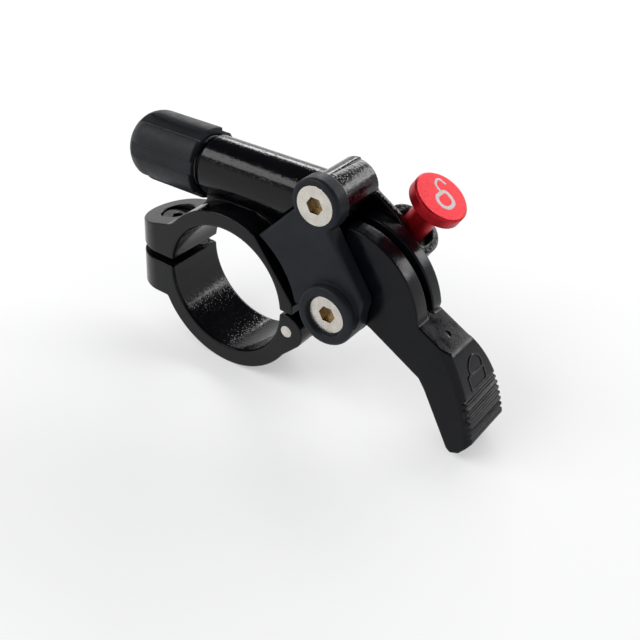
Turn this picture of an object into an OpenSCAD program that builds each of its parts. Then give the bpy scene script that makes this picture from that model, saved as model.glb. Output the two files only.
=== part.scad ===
// Remote fork lockout lever for a 22.2 mm handlebar, in millimetres.
// +X runs along the cable tube, away from its adjuster; +Y runs along the handlebar, away from
// the front cover; +Z is up. The origin is the handlebar's axis at the middle of the clamp's width.
// A depth is measured along +Y from the clamp's front face.

/* [Clamp] */
// Handlebar diameter at the clamp
bar_d = 22.2; // [19:0.1:26]
// Width of the clamp along the handlebar
clamp_w = 11.4; // [10.8:0.1:13]
// Wall of the fixed upper half
upper_wall = 2.6; // [2.2:0.1:3.2]
// Wall of the hinged lower half
jaw_wall = 3.0; // [2.6:0.1:3.6]
// Gap between the two lugs when clamped on the bar
split_gap = 1.5; // [0.8:0.1:2.2]
// Distance from the bar's axis to the clamp screw's axis
lug_reach = 14.8; // [14.2:0.1:16]
// Height of the upper lug above the split, at the clamp screw
lug_top_h = 5.6; // [5:0.05:7]
// Fall of the upper lug's top towards its end, in degrees
lug_slope = 16; // [0:1:20]
// Height of the lower lug under the split
lug_low_h = 6.2; // [5.2:0.1:7.5]
// Diameter of the clamp screw's thread
clamp_screw_d = 3; // [2.5:0.1:3.5]
// Diameter of the clamp screw's flat head
clamp_head_d = 5.2; // [4.8:0.1:6.2]

/* [Clamp hinge] */
// Hinge pin diameter
hinge_pin_d = 2; // [1.5:0.1:2.4]
// Radius of the hinge eyes
eye_r = 3.05; // [2.7:0.05:3.3]
// Height of the hinge pin's axis below the bar's axis
hinge_drop = 2.4; // [2:0.1:3]
// Distance from the bar's bore to the hinge pin's axis
hinge_reach = 1.5; // [1.3:0.05:1.9]
// Width of the tongue between the jaw's ears
tongue_w = 4.4; // [3.6:0.1:5.4]

/* [Lever pivot] */
// Distance of the lever's pivot to the right of the bar's axis
pivot_x = 20.3; // [19.9:0.1:22]
// Height of the lever's pivot above the bar's axis
pivot_z = 4.7; // [4:0.1:5.5]
// Outer diameter of the pivot bush
bush_d = 6; // [5:0.1:6.4]
// Thread diameter of the cover's two screws
screw_d = 3; // [2.5:0.1:3.2]
// Flat head diameter of the cover's two screws
screw_head_d = 6.2; // [5.6:0.1:6.4]

/* [Front cover] */
// How far the cover's face lies behind the clamp's front face
cover_depth = 0.35; // [0:0.05:0.6]
// Thickness of the cover
cover_t = 2.75; // [2.2:0.05:3.2]
// Radius of the cover's raised pivot boss
boss_r = 4.95; // [4.6:0.05:5.3]
// Height of the pivot boss above the cover's face
boss_h = 1.65; // [0.8:0.05:2.2]
// Distance of the upper screw to the left of the pivot
post_left = 4.1; // [3.6:0.1:4.6]
// Height of the upper screw above the pivot
post_up = 16.6; // [16.4:0.1:17.4]
// Radius of the post that carries the upper screw
post_r = 4; // [3.6:0.05:4.1]

/* [Lever] */
// Rim radius of the cable sector's two flanges
flange_r = 13.4; // [12.6:0.1:13.6]
// Radius at the bottom of the cable groove
groove_r = 11.1; // [10.9:0.05:11.6]
// Thickness of the front flange
front_flange_t = 3.05; // [2.9:0.05:3.3]
// Width of the cable groove
groove_w = 1.6; // [1.3:0.05:1.9]
// Thickness of the rear flange
rear_flange_t = 2.4; // [2.2:0.05:3]
// Turn of the lever from rest to the locked position, in degrees
lever_turn = 40; // [30:1:42]
// Width that the thumb paddle gains behind the arm
paddle_flare = 3.85; // [2.4:0.05:4.4]
// Number of ribs on the thumb paddle
rib_count = 7; // [5:1:9]
// Height of each rib
rib_h = 0.35; // [0.2:0.05:0.6]

/* [Release button] */
// Diameter of the button's cap
cap_d = 9.1; // [8.4:0.1:9.6]
// Thickness of the button's cap
cap_t = 2.1; // [1.5:0.1:2.5]
// Diameter of the button's stem
stem_d = 4.5; // [4:0.1:4.8]
// Travel of the button from rest to pressed
button_travel = 2; // [1.5:0.1:2.2]
// Distance from the pivot to the cap's face, along the button
cap_reach = 19.1; // [18.6:0.1:20]
// Outer diameter of the button's socket
socket_d = 9.3; // [8.8:0.1:9.8]
// Diameter of the latch peg across the stem
peg_d = 2; // [1.6:0.1:2.2]

/* [Cable adjuster] */
// Height of the cable tube's axis above the bar's axis
tube_z = 17.5; // [17.3:0.1:18.2]
// Rise of the cable tube towards the lever, in degrees
tube_rise = 2.5; // [0:0.5:3.5]
// Outer diameter of the cable tube
tube_d = 9.8; // [9.4:0.1:10]
// Distance from the bar's axis to the tube's adjuster end
tube_reach = 7.7; // [6.5:0.1:9]
// Diameter of the adjuster knob
knob_d = 11.7; // [11.4:0.1:12.6]
// Length of the adjuster knob
knob_l = 15.1; // [14:0.1:18]
// Gap between the knob and the tube's end
knob_gap = 0.9; // [0.5:0.1:1.2]
// Depth of the recesses between the knob's grip panels
grip_depth = 0.45; // [0.3:0.05:0.6]
// Number of grip panels around the knob
panel_count = 6; // [5:1:8]
// Thread diameter of the adjuster barrel
barrel_d = 6; // [5.6:0.1:6.2]
// Diameter of the socket that takes the cable housing's end
housing_d = 5.1; // [4.6:0.1:5.2]
// Depth of the socket that takes the cable housing's end
housing_depth = 9; // [7:0.5:12]

/* [Hidden] */
$fn = 48;

// Clearances
run = 0.05;
side_gap = 0.3;
hinge_gap = 0.2;
screw_gap = 0.25;
cover_gap = 0.15;
cut = 0.01;
far = 60;

// Clamp
bore_r = bar_d / 2;
ring_r = bore_r + upper_wall;
jaw_r = bore_r + jaw_wall;
lug_r = clamp_w / 2;
split_low = -0.35;
split_high = split_low + split_gap;
lug_top = split_high + lug_top_h;
lug_low = split_low - lug_low_h;
clamp_head_z = lug_top - (clamp_head_d / 2 + screw_gap) * tan(lug_slope);
bore_chamfer = 0.25;
lug_fillet = 4;
nut_w = 5.5;
nut_h = 2.4;
nut_sink = 0.3;
nut_room = 0.25;

// Hinge
hinge_x = sqrt(pow(bore_r + hinge_reach, 2) - pow(hinge_drop, 2)) + 0.25;
hinge_z = -hinge_drop;
eye_room = 0.4;
tongue_front = clamp_w / 2 - tongue_w / 2;
tongue_back = clamp_w / 2 + tongue_w / 2;

// Depths of the layers at the pivot, from the front
cover_back = cover_depth + cover_t;
lever_front = cover_back + side_gap;
groove_front = lever_front + front_flange_t;
groove_back = groove_front + groove_w;
lever_back = groove_back + rear_flange_t;
wall_front = lever_back + side_gap;
wall_t = 1.2;
wall_back = wall_front + wall_t;
web_front = 4.4;
wall_knee = [2.5, 12.1];
wall_side = [6.4, 6.2];
boss_front = cover_depth - boss_h;
screw_sink = 0.8;
pivot_nut_back = wall_front + 3.4;

// Upper post
post_x = pivot_x - post_left;
post_z = pivot_z + post_up;
post_taper = 0.4;
post_sag = 0.35;
cap_edge = 0.2;
cover_corner = [pivot_x + 3.3, pivot_z + 3.2];
cover_corner_r = 2.1;

// Screws
thread_r = screw_d / 2;
head_r = screw_head_d / 2;
hex_w = 2.5;
clamp_hex_w = 2;
hex_depth = 1.3;

// Lever
hub_r = 5;
hub_bore_r = bush_d / 2 + run;
spring_room_r = hub_r - 0.5;
spring_room_back = lever_front + 2.4;
sector_start = -22;
flange_start = -16;
flange_end = 91;
cheek_r = 11;
cheek_start = 60;
cheek_end = 122;
chamber_r = flange_r + 0.5;
chamber_start = -80;
chamber_play = 2;
cheek_play = 6;
nipple_r = 2.25;
nipple_angle = 10;
nipple_lead = 3.1;
cable_hole_r = 0.9;
cable_play = 0.5;
mouth_r = 1.5;
mouth_rise = 1.2;
paddle_centre = [-15.53, -23.95];
paddle_r = 41.3;
paddle_chamfer = 0.8;
fold = [18.6, -0.9];
fold_angle = 58.6;
paddle_l = 12.5;
paddle_side_r = (paddle_l * paddle_l + paddle_flare * paddle_flare) / (2 * paddle_flare);
rib_first = 22.6;
rib_step = 1.45;
rib_groove = 0.5;

// Return spring: a coil in the lever's hub, with a leg in the lever and a leg in the cover
coil_wire = 0.6;
coil_r = (bush_d / 2 + spring_room_r) / 2;
coil_turns = 2.5;
leg_l = 1.2;

// Button: its axis leans 60 degrees up from +X and passes close to the pivot
button_angle = 60;
button_side = 1.1;
stem_r = stem_d / 2;
socket_r = socket_d / 2;
button_depth = wall_back + stem_r + 0.5;
socket_start = 1.5;
mouth_reach = 11.1;
mouth_rim = 1.1;
mouth_wall = 1.3;
stem_end = 7.3;
peg_r = peg_d / 2;
peg_reach = 8.6;
peg_room = 0.2;
peg_skin = 0.8;
spring_floor = 3.5;
track_floor = lever_back - 1.6;
peg_near = norm([peg_reach - button_travel, button_side]);
peg_far = norm([peg_reach, button_side]);
peg_angle_near = button_angle + atan(button_side / (peg_reach - button_travel));
peg_angle_far = button_angle + atan(button_side / peg_reach);
track_in = peg_near - peg_r - peg_room;
track_out = peg_far + peg_r + peg_room;
track_play = asin((peg_r + peg_room) / peg_near);
notch_depth = 0.9;

// Cable tube and adjuster
tube_r = tube_d / 2;
tube_depth = groove_front + groove_w / 2;
cable_room_r = 2;
stop_x = 3;
barrel_r = barrel_d / 2;
knob_r = knob_d / 2;
knob_rim = -tube_reach - knob_gap;
knob_end = knob_rim - knob_l;
knob_round = 4.4;
collar_r = barrel_r + 0.7;
collar_start = knob_end + 2.2;
collar_l = 1.2;
barrel_in = 8;
recess_r = tube_r - 0.2;
recess_depth = 2.2;
recess_angle = 22;
panel_phase = 20;
o_ring_d = 0.7;

// Helpers: a flat shape drawn in X and Z, made solid between two depths
module slab(front, back) {
    translate([0, back - clamp_w / 2, 0]) rotate([90, 0, 0]) linear_extrude(back - front) children();
}

// A straight-sided bar with two round ends of their own radii, tangent to both
module link(a, ra, b, rb) {
    d = b - a;
    l = norm(d);
    u = d / l;
    v = [-u[1], u[0]];
    c = (ra - rb) / l;
    s = sqrt(1 - c * c);
    translate(a) circle(ra);
    translate(b) circle(rb);
    polygon([a, a + ra * (c * u - s * v), b + rb * (c * u - s * v), b,
             b + rb * (c * u + s * v), a + ra * (c * u + s * v)]);
}

// A pie slice between two angles
module slice(r, from, to) {
    mid = (from + to) / 2;
    polygon([[0, 0], r * [cos(from), sin(from)], 1.5 * r * [cos((from + mid) / 2), sin((from + mid) / 2)],
             1.5 * r * [cos(mid), sin(mid)], 1.5 * r * [cos((to + mid) / 2), sin((to + mid) / 2)],
             r * [cos(to), sin(to)]]);
}

// Part of a disc between two angles
module sector(r, from, to) {
    intersection() {
        circle(r);
        slice(1.2 * r, from, to);
    }
}

module at_pivot() {
    translate([pivot_x, pivot_z]) children();
}

// A flat-headed screw along +Y with its head's face at a depth, its tip at another
module flat_screw(face, tip) {
    r = thread_r;
    difference() {
        translate([0, face - clamp_w / 2, 0]) rotate([-90, 0, 0]) rotate_extrude()
            polygon([[0, 0], [head_r, 0], [head_r, 0.3], [r, 0.3 + head_r - r], [r, tip - face - 0.4],
                     [r - 0.4, tip - face], [0, tip - face]]);
        translate([0, face - cut - clamp_w / 2, 0]) rotate([-90, 0, 0])
            cylinder(d = hex_w / cos(30), h = hex_depth, $fn = 6);
    }
}

// The seat of a flat-headed screw, as a cutter
module flat_seat(face, tip, room) {
    r = thread_r + room;
    translate([0, face - clamp_w / 2, 0]) rotate([-90, 0, 0]) rotate_extrude()
        polygon([[0, -far], [head_r + room, -far], [head_r + room, 0.3], [r, 0.3 + head_r - thread_r],
                 [r, tip - face + cut], [0, tip - face + cut]]);
}

// Round stock along the button's axis, between two distances from the pivot
module along_button() {
    translate([pivot_x, button_depth - clamp_w / 2, pivot_z]) rotate([0, 90 - button_angle, 0])
        translate([-button_side, 0, 0]) children();
}

// Round stock along the cable tube's axis, from a distance along it
module along_tube(x) {
    translate([0, tube_depth - clamp_w / 2, tube_z]) rotate([0, 90 - tube_rise, 0]) translate([0, 0, x]) children();
}

// The bar's bore with its chamfered mouths, as a cutter
module bar_bore() {
    translate([0, clamp_w / 2, 0]) rotate([90, 0, 0]) rotate_extrude()
        polygon([[0, -cut], [bore_r + bore_chamfer, -cut], [bore_r + bore_chamfer, 0], [bore_r, bore_chamfer],
                 [bore_r, clamp_w - bore_chamfer], [bore_r + bore_chamfer, clamp_w],
                 [bore_r + bore_chamfer, clamp_w + cut], [0, clamp_w + cut]]);
}

// The lug seen from above: straight sides and a half-round end
module lug_plan() {
    translate([-lug_reach, 0]) circle(lug_r);
    translate([-lug_reach, -lug_r]) square([lug_reach, clamp_w]);
}

// The upper lug seen from the front: its top rises towards the ring and blends onto it
module upper_lug_profile() {
    along = [cos(lug_slope), sin(lug_slope)];
    normal = [-sin(lug_slope), cos(lug_slope)];
    above = normal * [-lug_reach, lug_top] + lug_fillet;
    centre = above * normal - sqrt(pow(ring_r + lug_fillet, 2) - pow(above, 2)) * along;
    foot = centre - lug_fillet * normal;
    difference() {
        polygon([[-far / 2, split_high], [0, split_high], [0, ring_r - 0.5],
                 ring_r / (ring_r + lug_fillet) * centre, foot, foot - lug_reach * along]);
        translate(centre) circle(lug_fillet);
    }
}

// Outline of the front cover, grown all round by a margin
module cover_outline(grow = 0) {
    left = [-0.73, 0.68] * grow;
    right = [0.81, 0.585] * grow;
    corner = cover_corner;
    translate([post_x, post_z]) circle(post_r + cap_edge + grow);
    link(corner, cover_corner_r + grow, [pivot_x, pivot_z], boss_r + grow);
    polygon([[pivot_x, pivot_z] + [-14.4, 7.6] + left, [post_x, post_z] + [-3.8, -2] + left, [post_x, post_z],
             [post_x, post_z] + [2.7, -3.2] + right, corner + cover_corner_r * [0.811, 0.585] + right,
             corner, [pivot_x, pivot_z], [pivot_x, pivot_z] + [-6.9, -1.6]]);
}

// Outline of the wall behind the lever
module wall_outline() {
    post = [post_x, post_z];
    knee = [pivot_x, pivot_z] + wall_knee;
    socket_side = [pivot_x, pivot_z] + wall_side;
    translate(post - [0, post_sag]) circle(post_r - post_taper);
    link(post + [2.7, -1], 0.9, knee, 2);
    link(knee, 2, socket_side, 2.6);
    link(socket_side, 2.6, [pivot_x, pivot_z], boss_r);
    polygon([post, knee, socket_side, [pivot_x, pivot_z], [ring_r - 1, 2.5], [ring_r - 2, 7.5], post + [-3.8, -2]]);
}

module clamp_body() {
    color("black") difference() {
        union() {
            // Upper half ring, its lug and the hinge tongue
            difference() {
                union() {
                    slab(0, clamp_w) circle(ring_r);
                    intersection() {
                        slab(0, clamp_w) upper_lug_profile();
                        translate([0, 0, -far / 2]) linear_extrude(far) lug_plan();
                    }
                }
                translate([-far / 2, -far / 2, split_high - far]) cube([far, far, far]);
            }
            slab(tongue_front + hinge_gap, tongue_back - hinge_gap)
                link([hinge_x, hinge_z], eye_r, [ring_r - 1.2, 3.6], 1.2);
            // Cable tube and the web under it
            along_tube(-tube_reach) cylinder(r = tube_r, h = post_x + tube_reach);
            slab(web_front, clamp_w) polygon([[-tube_reach, bore_r - 1], [-tube_reach, tube_z], [post_x, tube_z],
                                              [post_x, bore_r - 1], [0, bore_r - 1]]);
            // Seat of the front cover beside the tube
            slab(cover_back, wall_back) intersection() {
                cover_outline(-0.6);
                polygon([[0, 0], [0, far / 2], [post_x, far / 2], [post_x, post_z], [ring_r + 1, ring_r], [ring_r, 4]]);
            }
            translate([post_x, cover_back - clamp_w / 2, post_z - post_sag]) rotate([-90, 0, 0])
                cylinder(r1 = post_r, r2 = post_r - post_taper, h = wall_back - cover_back);
            slab(wall_front, wall_back) wall_outline();
            slab(wall_front, pivot_nut_back) at_pivot() circle(boss_r - 0.3);
            // Socket of the release button
            along_button() translate([0, 0, socket_start]) cylinder(r = socket_r, h = mouth_reach - socket_start);
        }
        // Room for the lever's sector, and for the front cover
        slab(cover_back, wall_front) at_pivot() {
            circle(hub_r + 0.3);
            sector(cheek_r + 0.4, chamber_start, cheek_end + cheek_play);
            sector(chamber_r, chamber_start, flange_end + chamber_play);
        }
        slab(-far / 4, cover_back) cover_outline(0.3);
        slab(-far / 4, clamp_w + cut) circle(bore_r);
        slab(clamp_w, far / 2) circle(bore_r + 1.2);
        bar_bore();
        // Hinge: the pin's bore and the room of the jaw's ears
        slab(-cut, clamp_w + cut) translate([hinge_x, hinge_z]) circle(hinge_pin_d / 2 + run);
        slab(-cut, tongue_front) translate([hinge_x, hinge_z]) circle(eye_r + eye_room);
        slab(tongue_back, wall_back + cut) translate([hinge_x, hinge_z]) circle(eye_r + eye_room);
        // Clamp screw, from above
        translate([-lug_reach, 0, clamp_head_z]) rotate([180, 0, 0]) clamp_seat(screw_gap);
        // The cover's screws
        translate([post_x, 0, post_z]) slab(cover_back - cut, wall_back - 1) circle(thread_r);
        translate([pivot_x, 0, pivot_z]) slab(wall_front - cut, pivot_nut_back + cut) circle(thread_r);
        // Button: blind bore, wider mouth and the peg's slot
        along_button() translate([0, 0, spring_floor]) cylinder(r = stem_r + run, h = far);
        along_button() translate([0, 0, mouth_reach - mouth_rim]) cylinder(r = socket_r - mouth_wall, h = far);
        along_button() peg_slot();
        // Cable tube: its end face, thread of the barrel, the cable's way out and the seat of the o-ring
        along_tube(-tube_reach - knob_l) cylinder(r = knob_r, h = knob_l);
        along_tube(-tube_reach - cut) cylinder(r = barrel_r, h = barrel_in + tube_reach - stop_x);
        along_tube(-tube_reach) cylinder(r = cable_room_r, h = far);
        along_tube(-tube_reach - cut) cylinder(r = barrel_r + o_ring_d + 0.02, h = o_ring_d + 0.2);
    }
}

// The clamp screw's seat, pointing up from its head
module clamp_seat(room) {
    r = clamp_screw_d / 2;
    h = clamp_head_d / 2;
    rotate_extrude() polygon([[0, -far / 2], [h + room, -far / 2], [h + room, 0.5], [r + room, 0.5 + h - r],
                              [r + room, far], [0, far]]);
}

module peg_slot() {
    w = peg_r + peg_room;
    translate([-w, -far, peg_reach - button_travel - w]) cube([2 * w, far, button_travel + 2 * w]);
}

module clamp_jaw() {
    color("black") difference() {
        union() {
            difference() {
                slab(0, clamp_w) circle(jaw_r);
                translate([-far / 2, -far / 2, split_low]) cube([far, far, far]);
            }
            intersection() {
                translate([-far / 2, -far / 2, lug_low]) cube([far / 2, far, lug_low_h]);
                translate([0, 0, -far / 2]) linear_extrude(far) lug_plan();
            }
            slab(0, clamp_w) link([hinge_x, hinge_z], eye_r, [5.6, -9.4], jaw_r - norm([5.6, -9.4]));
        }
        bar_bore();
        // The upper half's end and the tongue between the ears
        slab(tongue_front, tongue_back) {
            translate([hinge_x, hinge_z]) circle(eye_r + eye_room);
            polygon([[hinge_x - eye_r - eye_room, hinge_z], [hinge_x, hinge_z],
                     [hinge_x + far / 2, hinge_z - far / 2], [hinge_x + far / 2, far / 2],
                     [hinge_x - eye_r - eye_room, far / 2]]);
        }
        slab(-cut, clamp_w + cut) polygon([[0, split_low], [0, far], [hinge_x - eye_r + 0.3, far],
                                           [hinge_x - eye_r + 0.3, split_low]]);
        slab(-cut, clamp_w + cut) translate([hinge_x, hinge_z]) circle(hinge_pin_d / 2);
        translate([-lug_reach, 0, -far / 2]) cylinder(r = clamp_screw_d / 2 + screw_gap, h = far);
        translate([-lug_reach, 0, lug_low - far]) nut_prism(nut_w + 2 * nut_room, nut_sink + nut_h + far);
    }
}

module nut_prism(across, h) {
    cylinder(d = across / cos(30), h = h, $fn = 6);
}

module clamp_nut() {
    color("silver") difference() {
        translate([-lug_reach, 0, lug_low + nut_sink]) nut_prism(nut_w, nut_h);
        translate([-lug_reach, 0, -far / 2]) cylinder(r = clamp_screw_d / 2, h = far);
    }
}

module hinge_pin() {
    color("silver") slab(0.05, clamp_w - 0.05) translate([hinge_x, hinge_z]) circle(hinge_pin_d / 2);
}

module clamp_screw() {
    r = clamp_screw_d / 2;
    h = clamp_head_d / 2;
    l = clamp_head_z - lug_low - 0.5;
    color("dimgray") translate([-lug_reach, 0, clamp_head_z - 0.25]) rotate([180, 0, 0]) difference() {
        rotate_extrude() polygon([[0, 0], [h, 0], [h, 0.25], [r, 0.25 + h - r], [r, l - 0.4], [r - 0.4, l], [0, l]]);
        translate([0, 0, -cut]) cylinder(d = clamp_hex_w / cos(30), h = hex_depth, $fn = 6);
    }
}

module front_cover() {
    color("#2b2e33") difference() {
        union() {
            slab(cover_depth, cover_back) cover_outline();
            slab(boss_front, cover_back) at_pivot() circle(boss_r);
        }
        slab(-far / 4, cover_back + cut) circle(ring_r + cover_gap);
        slab(-far / 4, cover_back + cut) translate([hinge_x, hinge_z]) circle(eye_r + eye_room);
        translate([post_x, 0, post_z]) flat_seat(cover_depth, cover_back, cut);
        translate([pivot_x, 0, pivot_z]) flat_seat(boss_front + screw_sink, cover_back, cut);
        translate([pivot_x, 0, pivot_z]) slab(-far / 4, boss_front + screw_sink) circle(head_r + 0.3);
        leg_hole(lever_front - leg_l - run, lever_front);
    }
}

module top_screw() {
    color("silver") translate([post_x, 0, post_z]) flat_screw(cover_depth, wall_back - 1.2);
}

module pivot_screw() {
    color("silver") translate([pivot_x, 0, pivot_z]) flat_screw(boss_front + screw_sink, pivot_nut_back - 0.2);
}

module pivot_bush() {
    color("goldenrod") slab(cover_back, wall_front) at_pivot() difference() {
        circle(bush_d / 2);
        circle(thread_r + 0.05);
    }
}

module thrust_washer(front, back, r) {
    slab(front, back) at_pivot() difference() {
        circle(r);
        circle(bush_d / 2 + 0.02);
    }
}

module front_washer() {
    color("gainsboro") difference() {
        thrust_washer(cover_back, lever_front - 0.02, hub_r - 0.2);
        leg_hole(cover_back - cut, lever_front);
    }
}

module rear_washer() {
    color("gainsboro") thrust_washer(lever_back + 0.02, wall_front, hub_r - 0.2);
}

// Side view of the lever's arm and paddle, from the pivot: a flat on top, then the curved thumb face
module arm_profile() {
    at_pivot() intersection() {
        translate(paddle_centre) circle(paddle_r);
        polygon([[3, -0.9], [14.6, -7.1], [15.8, -8.7], [20.9, -17.4], [21.7, -18], [23.1, -17.4],
                 [24.7, -15.2], [28, -10], [24.3, -3.8], [12.9, 2], [9, 5]]);
    }
}

// Grooves between the ribs of the thumb face, and the chamfer of its front edge
module paddle_relief() {
    slab(lever_front - 1, lever_back + paddle_flare + 1) at_pivot() translate(paddle_centre)
        for (i = [0 : rib_count - 1]) rotate(rib_first - i * rib_step)
            translate([paddle_r - rib_h, -rib_groove / 2]) square([2 * rib_h, rib_groove]);
    translate([pivot_x + paddle_centre[0], lever_front - clamp_w / 2, pivot_z + paddle_centre[1]])
        rotate([-90, 0, 0]) rotate_extrude()
            polygon([[paddle_r - paddle_chamfer, -cut], [paddle_r + 1, -cut], [paddle_r + 1, paddle_chamfer + 1]]);
}

module lever() {
    color("#1c1c1e") difference() {
        union() {
            // Hub, cable sector and the cheek that carries the latch track
            slab(lever_front, lever_back) at_pivot() {
                circle(hub_r);
                sector(groove_r, sector_start, flange_end);
            }
            slab(lever_front, groove_front) at_pivot() sector(flange_r, flange_start, flange_end);
            slab(groove_back, lever_back) at_pivot() {
                sector(flange_r, flange_start, flange_end);
                sector(cheek_r, cheek_start, cheek_end);
            }
            difference() {
                union() {
                    slab(lever_front, lever_back) arm_profile();
                    intersection() {
                        slab(lever_back - 1, lever_back + paddle_flare) arm_profile();
                        paddle_bulge();
                    }
                }
                paddle_relief();
            }
        }
        slab(lever_front - cut, lever_back + cut) at_pivot() circle(hub_bore_r);
        slab(lever_front - cut, spring_room_back) at_pivot() circle(spring_room_r);
        latch_track();
        nipple_pocket();
        translate([pivot_x + coil_r, 0, pivot_z]) slab(spring_room_back - cut, spring_room_back + leg_l + run)
            circle(coil_wire / 2 + run);
    }
}

// Seat of the cable's end: in from under the arm, with the cable's hole on up to the groove
module nipple_pocket() {
    at = groove_r + cable_play;
    translate([pivot_x + at * cos(nipple_angle), tube_depth - clamp_w / 2, pivot_z + at * sin(nipple_angle)])
        rotate([0, 180 - nipple_angle, 0]) {
            translate([0, 0, -nipple_lead]) cylinder(r = cable_hole_r, h = far);
            translate([0, 0, nipple_lead]) cylinder(r = nipple_r, h = far);
            translate([cable_play, 0, -mouth_rise]) sphere(r = mouth_r);
        }
}

// Beyond the fold, the paddle curves out to the rear in one long arc
module paddle_bulge() {
    at = lever_back - clamp_w / 2;
    translate([pivot_x + fold[0], 0, pivot_z + fold[1]]) rotate([0, -fold_angle, 0]) rotate([90, 0, 90])
        linear_extrude(far, center = true) intersection() {
            translate([at + paddle_flare - paddle_side_r, -paddle_l]) circle(paddle_side_r);
            translate([at - 2, -far]) square([far, far]);
        }
}

// Track of the latch peg in the rear cheek, with the notch that holds the lever down
module latch_track() {
    from = peg_angle_far - track_play;
    to = peg_angle_near + lever_turn + track_play;
    hold = peg_angle_far + lever_turn;
    slab(track_floor, lever_back + 1) at_pivot() {
        difference() {
            sector(track_out, from, to);
            circle(track_in);
        }
        rotate(hold) translate([peg_far, -peg_r - peg_room / 2]) square([notch_depth + peg_r, 2 * peg_r + peg_room]);
    }
}

// A helical spring of round wire standing on z = 0, with a straight leg on from either end if asked
module coil(r, wire, turns, height, leg = 0) {
    sides = 8;
    n = ceil(turns * 18);
    rise = (height - wire) / n;
    // Points of one ring of the wire: turned to an angle, moved along z, drawn out along the wire or across it
    rings = [for (i = [leg > 0 ? -1 : 0 : leg > 0 ? n + 1 : n], j = [0 : sides - 1])
        let (on = min(max(i, 0), n), a = on * turns * 360 / n, b = j * 360 / sides, q = r + wire / 2 * cos(b),
             bend = leg > 0 && (i <= 0 || i >= n) ? -wire / 2 * sin(b) : 0,
             z = i < 0 ? -leg : i > n ? height + leg : wire / 2 * (1 + sin(b)) + on * rise)
        [q * cos(a) - bend * sin(a), q * sin(a) + bend * cos(a), z]];
    last = len(rings) / sides - 1;
    skin = [for (i = [0 : last - 1], j = [0 : sides - 1])
        let (k = (j + 1) % sides, m = i * sides)
        [m + k, m + j, m + sides + j, m + sides + k]];
    polyhedron(rings, concat([[for (j = [0 : sides - 1]) j]], skin,
                             [[for (j = [sides - 1 : -1 : 0]) last * sides + j]]));
}

module return_spring() {
    color("silver") translate([pivot_x, spring_room_back - run - clamp_w / 2, pivot_z]) rotate([90, 0, 0])
        coil(coil_r, coil_wire, coil_turns, spring_room_back - lever_front - 2 * run, leg_l);
}

// Hole for the spring's front leg, as a cutter
module leg_hole(front, back) {
    slab(front, back) at_pivot() rotate(coil_turns * 360) translate([coil_r, 0]) circle(coil_wire / 2 + run);
}

module release_button() {
    edge = 0.25;
    r = cap_d / 2;
    color("crimson") difference() {
        along_button() rotate(30) rotate_extrude()
            polygon([[0, stem_end], [stem_r - 0.3, stem_end], [stem_r, stem_end + 0.3],
                     [stem_r, cap_reach - cap_t - 1.2], [stem_r + 0.25, cap_reach - cap_t - 0.5],
                     [stem_r + 0.8, cap_reach - cap_t], [r - edge, cap_reach - cap_t], [r, cap_reach - cap_t + edge],
                     [r, cap_reach - edge], [r - edge, cap_reach], [0, cap_reach]]);
        along_button() peg_bore();
    }
}

module peg_bore() {
    translate([0, 0, peg_reach]) rotate([90, 0, 0]) translate([0, 0, peg_skin - stem_r]) cylinder(r = peg_r, h = far);
}

module latch_peg() {
    l = button_depth - track_floor - peg_room + stem_r - peg_skin;
    color("silver") along_button() translate([0, stem_r - peg_skin, peg_reach]) rotate([90, 0, 0]) cylinder(r = peg_r, h = l);
}

module button_spring() {
    wire = 0.5;
    color("silver") along_button() translate([0, 0, spring_floor + 0.02])
        coil(stem_r - wire / 2 - 0.15, wire, 4.5, stem_end - spring_floor - 0.04);
}

module adjuster_knob() {
    color("#26282b") difference() {
        // A round bar with a rounded end
        along_tube(knob_end) rotate_extrude() intersection() {
            square([knob_r, knob_l]);
            union() {
                translate([0, knob_round]) square([knob_r, knob_l]);
                square([knob_r - knob_round, knob_l]);
                translate([knob_r - knob_round, knob_round]) circle(knob_round);
            }
        }
        for (i = [0 : panel_count - 1]) along_tube(knob_end) rotate(i * 360 / panel_count + panel_phase)
            translate([0, 0, -1]) linear_extrude(knob_l + 2) difference() {
                sector(knob_r + 1, -recess_angle / 2, recess_angle / 2);
                circle(knob_r - grip_depth);
            }
        // Room at the rim for the spring, seat of the barrel's collar, and the barrel's bore
        along_tube(knob_rim - recess_depth) cylinder(r = recess_r, h = far);
        along_tube(collar_start) cylinder(r = collar_r, h = collar_l);
        along_tube(knob_end - 1) cylinder(r = housing_d / 2 + run, h = far);
        along_tube(collar_start) cylinder(r = barrel_r, h = far);
    }
}

module adjuster_barrel() {
    end = barrel_in - tube_reach;
    color("silver") difference() {
        union() {
            along_tube(collar_start) cylinder(r = collar_r, h = collar_l);
            along_tube(collar_start) cylinder(r = barrel_r, h = -tube_reach - collar_start);
            along_tube(collar_start) cylinder(r = barrel_r - run, h = end - collar_start);
        }
        along_tube(collar_start - cut) cylinder(r = housing_d / 2, h = housing_depth + cut);
        along_tube(collar_start) cylinder(r = 1, h = far);
    }
}

module adjuster_o_ring() {
    color("black") along_tube(-tube_reach + o_ring_d / 2 + 0.1) rotate_extrude()
        translate([barrel_r + o_ring_d / 2, 0]) circle(o_ring_d / 2);
}

module adjuster_spring() {
    wire = 0.6;
    color("silver") along_tube(knob_rim - recess_depth + 0.02)
        coil(recess_r - wire / 2 - 0.1, wire, 2.5, recess_depth + knob_gap - 0.04);
}

clamp_body();
clamp_jaw();
hinge_pin();
clamp_screw();
clamp_nut();
front_cover();
top_screw();
pivot_screw();
pivot_bush();
front_washer();
rear_washer();
lever();
return_spring();
release_button();
latch_peg();
button_spring();
adjuster_knob();
adjuster_barrel();
adjuster_o_ring();
adjuster_spring();
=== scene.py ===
"""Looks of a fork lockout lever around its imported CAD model. Lengths are in metres."""
import math

import bmesh
import bpy
from mathutils import Matrix, Vector
from mathutils.bvhtree import BVHTree


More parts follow.
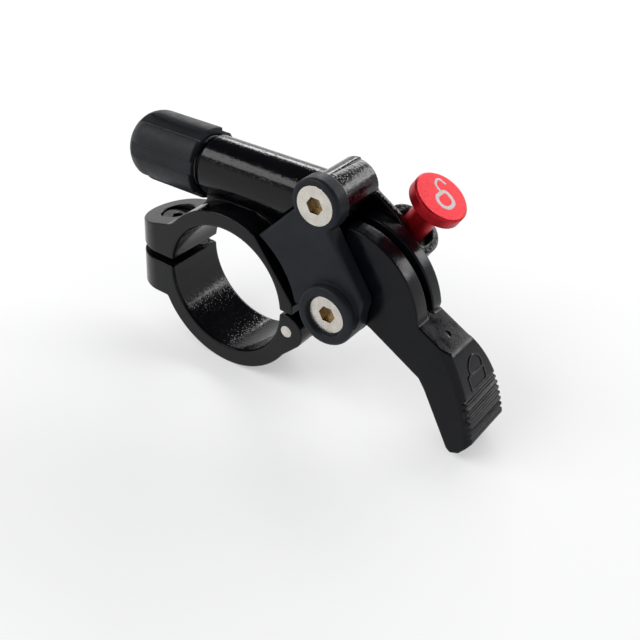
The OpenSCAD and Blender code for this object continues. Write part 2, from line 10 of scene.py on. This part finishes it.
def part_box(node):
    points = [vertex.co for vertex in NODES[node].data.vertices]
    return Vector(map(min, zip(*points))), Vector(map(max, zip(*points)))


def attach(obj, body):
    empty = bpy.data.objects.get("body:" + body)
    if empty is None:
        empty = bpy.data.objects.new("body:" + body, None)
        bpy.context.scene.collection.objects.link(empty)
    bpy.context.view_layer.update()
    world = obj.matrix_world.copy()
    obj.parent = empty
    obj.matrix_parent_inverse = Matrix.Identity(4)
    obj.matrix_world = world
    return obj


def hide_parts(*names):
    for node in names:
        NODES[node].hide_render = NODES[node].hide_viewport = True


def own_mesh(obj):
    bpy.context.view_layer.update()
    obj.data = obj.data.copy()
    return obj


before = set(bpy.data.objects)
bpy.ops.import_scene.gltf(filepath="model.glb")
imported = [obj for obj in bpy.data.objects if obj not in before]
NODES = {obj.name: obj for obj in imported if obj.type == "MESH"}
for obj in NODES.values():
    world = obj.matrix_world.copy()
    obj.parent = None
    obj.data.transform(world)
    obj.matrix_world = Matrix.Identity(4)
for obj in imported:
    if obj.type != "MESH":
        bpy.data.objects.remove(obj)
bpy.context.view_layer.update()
MM = 0.001

# Places taken from the CAD model
PIVOT = Vector((20.3, 0, 4.7)) * MM
PADDLE_CENTRE = PIVOT + Vector((-15.53, 0, -23.95)) * MM
PADDLE_R = 41.3 * MM
BUTTON_TURN = math.radians(60)
BUTTON_AXIS = Vector((math.cos(BUTTON_TURN), 0, math.sin(BUTTON_TURN)))
BUTTON_SIDE = Vector((-math.sin(BUTTON_TURN), 0, math.cos(BUTTON_TURN)))
ALONG_BAR = Vector((0, 1, 0))
CAP_FACE = PIVOT + BUTTON_AXIS * 19.1 * MM + BUTTON_SIDE * 1.1 * MM + ALONG_BAR * 9.0 * MM
DIMPLE = Vector((36.7, 1.3, 4.5)) * MM
FLOOR_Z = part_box("clamp_jaw")[0].z


# Camera, floor and light

OVERHEAD = 0.05


def add_camera():
    data = bpy.data.cameras.new("camera")
    data.lens = 56.25
    data.sensor_width = 36
    data.clip_start = 0.01
    data.clip_end = 10
    camera = bpy.data.objects.new("camera", data)
    bpy.context.scene.collection.objects.link(camera)
    right = Vector((0.813, 0.579, 0.063)).normalized()
    back = Vector((0.443, -0.685, 0.579)).normalized()
    up = back.cross(right).normalized()
    right = up.cross(back)
    turn = Matrix((right, up, back)).transposed().to_4x4()
    camera.matrix_world = Matrix.Translation(Vector((86.04, -109.56, 90.62)) * MM) @ turn
    bpy.context.scene.camera = camera


def add_area_light(name, place, target, size, watts):
    data = bpy.data.lights.new(name, "AREA")
    data.shape = "RECTANGLE"
    data.size = size[0]
    data.size_y = size[1]
    data.energy = watts
    lamp = bpy.data.objects.new(name, data)
    bpy.context.scene.collection.objects.link(lamp)
    lamp.location = place
    lamp.rotation_euler = (Vector(target) - Vector(place)).to_track_quat("-Z", "Y").to_euler()


def seen_directly(links, nodes):
    """1 for what the camera sees itself or in gloss or glass, 0 for the light that reaches surfaces"""
    path = nodes.new("ShaderNodeLightPath")
    both = nodes.new("ShaderNodeMath")
    both.operation = "MAXIMUM"
    links.new(path.outputs["Is Camera Ray"], both.inputs[0])
    links.new(path.outputs["Is Glossy Ray"], both.inputs[1])
    every = nodes.new("ShaderNodeMath")
    every.operation = "MAXIMUM"
    links.new(both.outputs[0], every.inputs[0])
    links.new(path.outputs["Is Transmission Ray"], every.inputs[1])
    return every.outputs[0]


def set_world():
    """White near the horizon and grey overhead, with less of it in the light that falls on surfaces"""
    world = bpy.data.worlds.new("studio")
    bpy.context.scene.world = world
    world.use_nodes = True
    nodes, links = world.node_tree.nodes, world.node_tree.links
    nodes.clear()
    direction = nodes.new("ShaderNodeTexCoord").outputs["Generated"]
    height = nodes.new("ShaderNodeSeparateXYZ")
    links.new(direction, height.inputs[0])
    sky = nodes.new("ShaderNodeMapRange")
    sky.interpolation_type = "SMOOTHSTEP"
    sky.inputs["From Min"].default_value = 0.28
    sky.inputs["From Max"].default_value = 0.58
    sky.inputs["To Min"].default_value = 1
    sky.inputs["To Max"].default_value = OVERHEAD
    links.new(height.outputs["Z"], sky.inputs["Value"])
    lit = nodes.new("ShaderNodeBackground")
    lit.inputs["Color"].default_value = (0.97, 0.98, 1, 1)
    lit.inputs["Strength"].default_value = 0.45
    shown = nodes.new("ShaderNodeBackground")
    shown.inputs["Strength"].default_value = 1
    links.new(sky.outputs["Result"], shown.inputs["Color"])
    mix = nodes.new("ShaderNodeMixShader")
    links.new(seen_directly(links, nodes), mix.inputs[0])
    links.new(lit.outputs[0], mix.inputs[1])
    links.new(shown.outputs[0], mix.inputs[2])
    out = nodes.new("ShaderNodeOutputWorld")
    links.new(mix.outputs[0], out.inputs["Surface"])


def add_floor():
    """Matt white paper that fades into the white of the horizon"""
    mesh = bpy.data.meshes.new("floor")
    half = 1.5
    corners = [(-half, -half, FLOOR_Z), (half, -half, FLOOR_Z), (half, half, FLOOR_Z), (-half, half, FLOOR_Z)]
    mesh.from_pydata(corners, [], [(0, 1, 2, 3)])
    floor = bpy.data.objects.new("floor", mesh)
    bpy.context.scene.collection.objects.link(floor)
    material = bpy.data.materials.new("floor_white")
    material.use_nodes = True
    nodes, links = material.node_tree.nodes, material.node_tree.links
    paper = nodes["Principled BSDF"]
    paper.inputs["Base Color"].default_value = (0.95, 0.95, 0.95, 1)
    paper.inputs["Roughness"].default_value = 0.7
    paper.inputs["Specular IOR Level"].default_value = 0.1
    white = nodes.new("ShaderNodeEmission")
    white.inputs["Strength"].default_value = 1
    away = nodes.new("ShaderNodeVectorMath")
    away.operation = "LENGTH"
    links.new(nodes.new("ShaderNodeTexCoord").outputs["Object"], away.inputs[0])
    fade = nodes.new("ShaderNodeMapRange")
    fade.interpolation_type = "SMOOTHSTEP"
    fade.inputs["From Min"].default_value = 0.10
    fade.inputs["From Max"].default_value = 0.45
    fade.inputs["To Min"].default_value = 0.4
    links.new(away.outputs["Value"], fade.inputs["Value"])
    share = nodes.new("ShaderNodeMath")
    share.operation = "MULTIPLY"
    links.new(fade.outputs["Result"], share.inputs[0])
    links.new(seen_directly(links, nodes), share.inputs[1])
    mix = nodes.new("ShaderNodeMixShader")
    links.new(share.outputs[0], mix.inputs[0])
    links.new(paper.outputs[0], mix.inputs[1])
    links.new(white.outputs[0], mix.inputs[2])
    links.new(mix.outputs[0], nodes["Material Output"].inputs["Surface"])
    mesh.materials.append(material)


add_camera()
set_world()
add_floor()
add_area_light("key", (-0.20, -0.24, 0.30), (0.01, 0, 0), (0.40, 0.14), 0.9)
add_area_light("back_strip", (0.02, 0.45, 0.25), (0.01, 0, 0), (0.85, 0.12), 2.4)
bpy.context.scene.view_settings.view_transform = "Standard"


# Materials

SOCKET_R = 1.45 * MM
THREAD_PITCH = 0.7 * MM
WAVE_AT_SCALE_1 = math.pi / 10


class Shader:
    """A node material: a Principled shader fed by noise, so that no surface has one flat colour"""

    def __init__(self, name, metallic=0.0, coat=0.0, coat_roughness=0.1, specular=0.5):
        self.material = bpy.data.materials.new(name)
        self.material.use_nodes = True
        self.nodes = self.material.node_tree.nodes
        self.links = self.material.node_tree.links
        self.bsdf = self.nodes["Principled BSDF"]
        self.bsdf.inputs["Metallic"].default_value = metallic
        self.bsdf.inputs["Coat Weight"].default_value = coat
        self.bsdf.inputs["Coat Roughness"].default_value = coat_roughness
        self.bsdf.inputs["Specular IOR Level"].default_value = specular
        self.place = self.nodes.new("ShaderNodeTexCoord").outputs["Object"]
        self.normal = None

    def noise(self, size, detail=3.0, roughness=0.55, stretch=None, coordinates=None):
        """Noise whose grains are about the given size"""
        source = coordinates or self.place
        if stretch:
            scale = self.nodes.new("ShaderNodeMapping")
            scale.inputs["Scale"].default_value = stretch
            self.links.new(source, scale.inputs["Vector"])
            source = scale.outputs[0]
        noise = self.nodes.new("ShaderNodeTexNoise")
        noise.inputs["Scale"].default_value = 1 / size
        noise.inputs["Detail"].default_value = detail
        noise.inputs["Roughness"].default_value = roughness
        self.links.new(source, noise.inputs["Vector"])
        return noise.outputs["Fac"]

    def pips(self, apart, radius):
        """1 in small round spots, which lie about the given distance apart, and 0 between them"""
        cells = self.nodes.new("ShaderNodeTexVoronoi")
        cells.inputs["Scale"].default_value = 1 / apart
        self.links.new(self.place, cells.inputs["Vector"])
        return self.spread(cells.outputs["Distance"], 1, 0, 0.3 * radius / apart, radius / apart)

    def spread(self, fac, low, high, start=0.3, end=0.7):
        """A value remapped from one range to another"""
        span = self.nodes.new("ShaderNodeMapRange")
        span.inputs["From Min"].default_value = start
        span.inputs["From Max"].default_value = end
        span.inputs["To Min"].default_value = low
        span.inputs["To Max"].default_value = high
        self.links.new(fac, span.inputs["Value"])
        return span.outputs["Result"]

    def mix(self, fac, a, b):
        mix = self.nodes.new("ShaderNodeMix")
        mix.data_type = "RGBA"
        self.links.new(fac, mix.inputs["Factor"])
        for key, value in ((6, a), (7, b)):
            if isinstance(value, tuple):
                mix.inputs[key].default_value = (*value, 1)
            else:
                self.links.new(value, mix.inputs[key])
        return mix.outputs[2]

    def colour(self, a, b, fac):
        self.base = self.mix(fac, a, b)
        self.links.new(self.base, self.bsdf.inputs["Base Color"])

    def roughness(self, low, high, fac):
        self.links.new(self.spread(fac, low, high), self.bsdf.inputs["Roughness"])

    def soft_edges(self, radius):
        """Rounds the look of sharp edges"""
        bevel = self.nodes.new("ShaderNodeBevel")
        bevel.samples = 6
        bevel.inputs["Radius"].default_value = radius
        self.normal = bevel.outputs[0]
        self.links.new(self.normal, self.bsdf.inputs["Normal"])

    def bump(self, height, distance, strength=1.0):
        bump = self.nodes.new("ShaderNodeBump")
        bump.inputs["Distance"].default_value = distance
        bump.inputs["Strength"].default_value = strength
        self.links.new(height, bump.inputs["Height"])
        if self.normal:
            self.links.new(self.normal, bump.inputs["Normal"])
        self.normal = bump.outputs[0]
        self.links.new(self.normal, self.bsdf.inputs["Normal"])


def painted_black():
    """Glossy black enamel with the slight ripple of a sprayed coat and a few dust pips"""
    s = Shader("painted_black", specular=0.24)
    s.soft_edges(0.25 * MM)
    s.colour((0.0015, 0.0016, 0.0022), (0.003, 0.0032, 0.0045), s.spread(s.noise(4 * MM), 0, 1))
    s.roughness(0.08, 0.16, s.noise(0.9 * MM, 4))
    s.bump(s.noise(1.5 * MM, 2), 0.04 * MM, 0.5)
    s.bump(s.pips(0.42 * MM, 0.16 * MM), 0.015 * MM, 0.8)
    return s.material


def satin_black(name, dark, light, rough, grain, specular=0.14, shape=None):
    s = Shader(name, specular=specular)
    s.soft_edges(0.3 * MM)
    s.colour(dark, light, s.spread(s.noise(5 * MM), 0, 1))
    if shape:
        shape(s)
    s.roughness(rough - 0.07, rough + 0.07, s.noise(1.6 * MM, 4))
    s.bump(s.noise(grain, 3), 0.02 * MM, 0.5)
    return s.material


def bright_steel(name, dark, light, rough, shape=None):
    s = Shader(name, metallic=1)
    s.soft_edges(0.12 * MM)
    s.colour(dark, light, s.spread(s.noise(1.2 * MM, 4), 0, 1))
    if shape:
        shape(s)
    s.roughness(rough - 0.06, rough + 0.08, s.noise(0.5 * MM, 4))
    s.bump(s.noise(0.12 * MM, 3), 0.006 * MM, 0.5)
    return s.material


def socket_tint_and_shade(node):
    """Brassy tint with painted shade: darker inside the hexagon socket of a screw that lies along the bar"""
    low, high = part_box(node)
    face = Vector(((low.x + high.x) / 2, low.y, (low.z + high.z) / 2))

    def shade(s):
        apart = s.nodes.new("ShaderNodeVectorMath")
        apart.operation = "SUBTRACT"
        s.links.new(s.place, apart.inputs[0])
        apart.inputs[1].default_value = NODES[node].matrix_world.inverted() @ face
        flat = s.nodes.new("ShaderNodeVectorMath")
        flat.operation = "MULTIPLY"
        flat.inputs[1].default_value = (1, 0, 1)
        s.links.new(apart.outputs[0], flat.inputs[0])
        off_axis = s.nodes.new("ShaderNodeVectorMath")
        off_axis.operation = "LENGTH"
        s.links.new(flat.outputs[0], off_axis.inputs[0])
        inside = s.spread(off_axis.outputs["Value"], 1, 0, SOCKET_R, SOCKET_R + 0.1 * MM)
        depth = s.nodes.new("ShaderNodeSeparateXYZ")
        s.links.new(apart.outputs[0], depth.inputs[0])
        below = s.spread(depth.outputs["Y"], 0, 1, 0.05 * MM, 0.2 * MM)
        both = s.nodes.new("ShaderNodeMath")
        both.operation = "MULTIPLY"
        s.links.new(inside, both.inputs[0])
        s.links.new(below, both.inputs[1])
        # Painted shade: the inside of the socket is mixed toward a darker brassy colour
        s.colour(s.base, (0.30, 0.23, 0.14), both.outputs[0])

    return shade


def moulded_dimple(s):
    """The small round dimple that a mould's pin leaves on the lever's facet"""
    apart = s.nodes.new("ShaderNodeVectorMath")
    apart.operation = "DISTANCE"
    s.links.new(s.place, apart.inputs[0])
    apart.inputs[1].default_value = NODES["lever"].matrix_world.inverted() @ DIMPLE
    s.bump(s.spread(apart.outputs["Value"], 0, 1, 0.35 * MM, 0.75 * MM), 0.25 * MM, 1)


def turned_thread(s):
    """Fine thread turned along the cable tube's axis"""
    wave = s.nodes.new("ShaderNodeTexWave")
    wave.bands_direction = "X"
    wave.inputs["Scale"].default_value = WAVE_AT_SCALE_1 / THREAD_PITCH
    s.links.new(s.place, wave.inputs["Vector"])
    s.bump(wave.outputs["Fac"], 0.15 * MM, 0.8)


def anodised_red():
    """Red anodised aluminium, bead-blasted before it was dyed"""
    s = Shader("anodised_red", metallic=0.8, specular=0.4)
    s.soft_edges(0.15 * MM)
    s.colour((0.36, 0.004, 0.010), (0.52, 0.013, 0.022), s.spread(s.noise(0.35 * MM, 4), 0, 1))
    s.roughness(0.30, 0.44, s.noise(0.5 * MM, 4))
    s.bump(s.noise(0.20 * MM, 3), 0.025 * MM, 0.8)
    return s.material


def rubber_black():
    s = Shader("seal_black", specular=0.3)
    s.colour((0.008, 0.008, 0.008), (0.02, 0.02, 0.02), s.spread(s.noise(1 * MM), 0, 1))
    s.roughness(0.5, 0.7, s.noise(0.5 * MM))
    s.bump(s.noise(0.2 * MM), 0.01 * MM, 0.5)
    return s.material


def mark_grey():
    """Pale grey of the laser-marked lines on the cap"""
    s = Shader("mark_grey", specular=0.3)
    s.colour((0.62, 0.56, 0.56), (0.78, 0.72, 0.72), s.spread(s.noise(0.3 * MM, 3), 0, 1))
    s.roughness(0.5, 0.7, s.noise(0.3 * MM))
    s.bump(s.noise(0.15 * MM), 0.006 * MM, 0.5)
    return s.material


PAINT = painted_black()
COVER = satin_black("cover_black", (0.010, 0.0115, 0.0145), (0.015, 0.0168, 0.0212), 0.40, 0.22 * MM)
LEVER = satin_black("lever_black", (0.002, 0.0022, 0.0034), (0.004, 0.0046, 0.0072), 0.19, 0.25 * MM, 0.17,
                    moulded_dimple)
KNOB = satin_black("knob_black", (0.009, 0.010, 0.012), (0.016, 0.017, 0.021), 0.46, 0.3 * MM, 0.2)
WASHER = satin_black("washer_black", (0.02, 0.02, 0.022), (0.04, 0.04, 0.044), 0.45, 0.2 * MM)
NICKEL_DARK, NICKEL_LIGHT = (0.55, 0.52, 0.47), (0.67, 0.64, 0.59)
NICKEL = bright_steel("bright_nickel", NICKEL_DARK, NICKEL_LIGHT, 0.26)
TOP_SCREW = bright_steel("top_screw_nickel", NICKEL_DARK, NICKEL_LIGHT, 0.26, socket_tint_and_shade("top_screw"))
PIVOT_SCREW = bright_steel("pivot_screw_nickel", NICKEL_DARK, NICKEL_LIGHT, 0.26, socket_tint_and_shade("pivot_screw"))
DARK_STEEL = bright_steel("black_oxide_steel", (0.05, 0.05, 0.055), (0.09, 0.09, 0.10), 0.34)
SPRING = bright_steel("spring_steel", (0.42, 0.42, 0.43), (0.60, 0.60, 0.62), 0.28)
BRONZE = bright_steel("bronze", (0.42, 0.25, 0.09), (0.60, 0.38, 0.15), 0.32)
ALLOY = bright_steel("plain_alloy", (0.50, 0.51, 0.53), (0.66, 0.67, 0.69), 0.33, turned_thread)
RED = anodised_red()
SEAL = rubber_black()
MARK = mark_grey()

FINISH = {
    "clamp_body": PAINT, "clamp_jaw": PAINT, "hinge_pin": NICKEL, "clamp_screw": DARK_STEEL,
    "clamp_nut": NICKEL, "front_cover": COVER, "top_screw": TOP_SCREW, "pivot_screw": PIVOT_SCREW,
    "pivot_bush": BRONZE, "front_washer": WASHER, "rear_washer": WASHER, "lever": LEVER,
    "return_spring": SPRING, "release_button": RED, "latch_peg": NICKEL, "button_spring": SPRING,
    "adjuster_knob": KNOB, "adjuster_barrel": ALLOY, "adjuster_o_ring": SEAL, "adjuster_spring": DARK_STEEL,
}
for name, material in FINISH.items():
    slots = NODES[name].data.materials
    slots.clear()
    slots.append(material)


# Rounded copies of the main solids

def around_front(edge):
    """Whether an edge of the cover lies in its front faces and clear of its screw seats"""
    for corner in edge.verts:
        if corner.co.y > COVER_FRONT + 0.05 * MM:
            return False
        for axis in SCREW_AXES:
            if math.hypot(corner.co.x - axis.x, corner.co.z - axis.z) < SCREW_SEAT_R:
                return False
    return True


def in_peg_track(edge):
    """Whether an edge belongs to the track in the lever's rear side, where the latch peg runs"""
    for corner in edge.verts:
        if corner.co.y < TRACK_FLOOR or math.hypot(corner.co.x - PIVOT.x, corner.co.z - PIVOT.z) > TRACK_REACH:
            return False
    return True


def keep_to_surface(mesh, model, limit):
    """Moves corners that the rounding threw off the model's surface back onto it"""
    corners = [v.co for v in model.vertices]
    tree = BVHTree.FromPolygons(corners, [tuple(p.vertices) for p in model.polygons])
    for vertex in mesh.vertices:
        nearest, normal, _, distance = tree.find_nearest(vertex.co)
        outside = (vertex.co - nearest).dot(normal) > 0
        if distance > limit or (outside and distance > ROUNDING_ERROR):
            vertex.co = nearest


TRACK_FLOOR = 3.1 * MM
TRACK_REACH = 13.5 * MM
ROUNDING_ERROR = 0.01 * MM
COVER_FRONT = -5.35 * MM
SCREW_SEAT_R = 3.7 * MM
SCREW_AXES = [(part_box(node)[0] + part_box(node)[1]) / 2 for node in ("top_screw", "pivot_screw")]


def rounded(node, width, body, sharp=32, segments=2, front=None, stays_sharp=None):
    """A copy of a CAD node with rounded edges, which stands for the node. Front is the width of the rounding
    around its front face, where that is larger, and stays_sharp says which edges are left alone"""
    mesh = NODES[node].data.copy()
    work = bmesh.new()
    work.from_mesh(mesh)
    bmesh.ops.remove_doubles(work, verts=work.verts, dist=0.002 * MM)
    bmesh.ops.dissolve_limit(work, angle_limit=math.radians(1.2), verts=work.verts, edges=work.edges)
    widest = front or width
    weight = work.edges.layers.float.new("bevel_weight_edge")
    for edge in work.edges:
        if stays_sharp and stays_sharp(edge):
            continue
        if edge.calc_face_angle(0) > math.radians(sharp):
            at_front = front and edge.is_convex and around_front(edge)
            edge[weight] = 1 if at_front else width / widest
    work.to_mesh(mesh)
    work.free()
    piece = bpy.data.objects.new(node + "_rounded", mesh)
    bpy.context.scene.collection.objects.link(piece)
    bevel = piece.modifiers.new("edges", "BEVEL")
    bevel.width = widest
    bevel.segments = segments
    bevel.limit_method = "WEIGHT"
    bevel.use_clamp_overlap = False
    bevel.miter_outer = "MITER_ARC"
    shown = piece.evaluated_get(bpy.context.evaluated_depsgraph_get())
    final = bpy.data.meshes.new_from_object(shown)
    piece.modifiers.clear()
    piece.data = final
    keep_to_surface(final, NODES[node].data, widest / 2)
    for polygon in final.polygons:
        polygon.use_smooth = True
    final.set_sharp_from_angle(angle=math.radians(38))
    shade = piece.modifiers.new("shading", "WEIGHTED_NORMAL")
    shade.keep_sharp = True
    final.materials.clear()
    final.materials.append(FINISH[node])
    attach(piece, body)
    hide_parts(node)


rounded("clamp_body", 0.22 * MM, "clamp")
rounded("clamp_jaw", 0.22 * MM, "jaw")
rounded("front_cover", 0.15 * MM, "clamp", segments=4, front=0.65 * MM)
rounded("lever", 0.25 * MM, "lever", stays_sharp=in_peg_track)
rounded("adjuster_knob", 0.2 * MM, "adjuster")

# The button's spring, as a copy on the clamp in place of the imported one

def add_button_spring():
    spring = bpy.data.objects.new("button_spring_squeezed", NODES["button_spring"].data.copy())
    bpy.context.scene.collection.objects.link(spring)
    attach(spring, "clamp")
    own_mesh(spring)
    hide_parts("button_spring")


add_button_spring()


# Marks: an open padlock on the cap and a closed one moulded on the paddle

def smooth_path(points, closed, steps=6):
    """Points along a smooth curve through the given ones"""
    path = []
    count = len(points)
    spans = count if closed else count - 1
    for i in range(spans):
        if closed:
            around = [Vector(points[(i + k) % count]) for k in (-1, 0, 1, 2)]
        else:
            around = [Vector(points[min(max(i + k, 0), count - 1)]) for k in (-1, 0, 1, 2)]
        before, start, end, after = around
        for step in range(steps):
            t = step / steps
            path.append(0.5 * (2 * start + (end - before) * t + (2 * before - 5 * start + 4 * end - after) * t ** 2
                               + (3 * start - before - 3 * end + after) * t ** 3))
    if not closed:
        path.append(Vector(points[-1]))
    return path


def raised_line(name, path, closed, width, height, on_face, body, material):
    """A low bar with chamfered edges along a path, in the coordinates of the face that it lies on"""
    count = len(path)
    section = ((-0.5, -0.06 * MM), (-0.5, height * 0.5), (-0.32, height), (0.32, height), (0.5, height * 0.5),
               (0.5, -0.06 * MM))
    corners = []
    for i, point in enumerate(path):
        before = path[(i - 1) % count] if closed else path[max(i - 1, 0)]
        after = path[(i + 1) % count] if closed else path[min(i + 1, count - 1)]
        along = (after - before).normalized()
        across = Vector((-along.y, along.x))
        for side, lift in section:
            at = point + across * side * width
            corners.append(on_face(at.x, at.y, lift))
    sides = len(section)
    faces = []
    for i in range(count if closed else count - 1):
        here, there = i * sides, (i + 1) % count * sides
        for k in range(sides):
            turn = (k + 1) % sides
            faces.append((here + k, here + turn, there + turn, there + k))
    if not closed:
        faces.append(tuple(range(sides))[::-1])
        faces.append(tuple((count - 1) * sides + k for k in range(sides)))
    mesh = bpy.data.meshes.new(name)
    mesh.from_pydata(corners, [], faces)
    work = bmesh.new()
    work.from_mesh(mesh)
    bmesh.ops.recalc_face_normals(work, faces=work.faces)
    work.to_mesh(mesh)
    work.free()
    for polygon in mesh.polygons:
        polygon.use_smooth = True
    mesh.set_sharp_from_angle(angle=math.radians(50))
    mesh.materials.append(material)
    line = bpy.data.objects.new(name, mesh)
    bpy.context.scene.collection.objects.link(line)
    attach(line, body)


def on_cap(up, across, lift):
    return CAP_FACE + BUTTON_SIDE * up + ALONG_BAR * across + BUTTON_AXIS * lift


def on_paddle(up, across, lift):
    turn = PADDLE_BODY_TOP + up / PADDLE_R
    outward = Vector((math.cos(turn), 0, math.sin(turn)))
    return PADDLE_CENTRE + outward * (PADDLE_R + lift) + ALONG_BAR * across


def padlock(name, body_line, shackle, widths, height, on_face, body, material):
    """A padlock's body and shackle as raised lines of the given widths, with their points in millimetres"""
    outline = smooth_path([(up * MM, across * MM) for up, across in body_line], True)
    hook = smooth_path([(up * MM, across * MM) for up, across in shackle], False)
    raised_line(name + "_body", outline, True, widths[0], height, on_face, body, material)
    raised_line(name + "_shackle", hook, False, widths[1], height, on_face, body, material)


CAP_LOCK_BODY = [(0.35, -0.9), (-0.35, -1.5), (-1.3, -1.5), (-2.0, -0.85), (-2.1, 0.1), (-1.8, 0.95),
                 (-0.9, 1.35), (0.1, 1.35), (0.45, 0.8), (0.45, 0.0)]
CAP_LOCK_SHACKLE = [(0.5, 0.56), (1.26, 0.60), (1.95, 0.85), (2.3, 1.3), (2.45, 1.9), (2.18, 2.4), (1.08, 2.65)]
padlock("cap_padlock", CAP_LOCK_BODY, CAP_LOCK_SHACKLE, (0.62 * MM, 0.40 * MM), 0.03 * MM, on_cap,
        "button", MARK)

PADDLE_BODY_TOP = math.radians(26.8)
PADDLE_LOCK_BODY = [(0, 0.75), (-0.1, 3.0), (-0.15, 5.0), (-0.7, 5.15), (-1.7, 5.15), (-2.25, 4.9), (-2.3, 3.0),
                    (-2.25, 0.95), (-1.7, 0.7), (-0.7, 0.65)]
PADDLE_LOCK_SHACKLE = [(0, 1.4), (1.2, 1.4), (2.1, 2.0), (2.5, 3.1), (2.1, 4.3), (1.2, 4.95), (0, 4.95)]
padlock("paddle_padlock", PADDLE_LOCK_BODY, PADDLE_LOCK_SHACKLE, (0.4 * MM, 0.4 * MM), 0.12 * MM, on_paddle,
        "lever", LEVER)
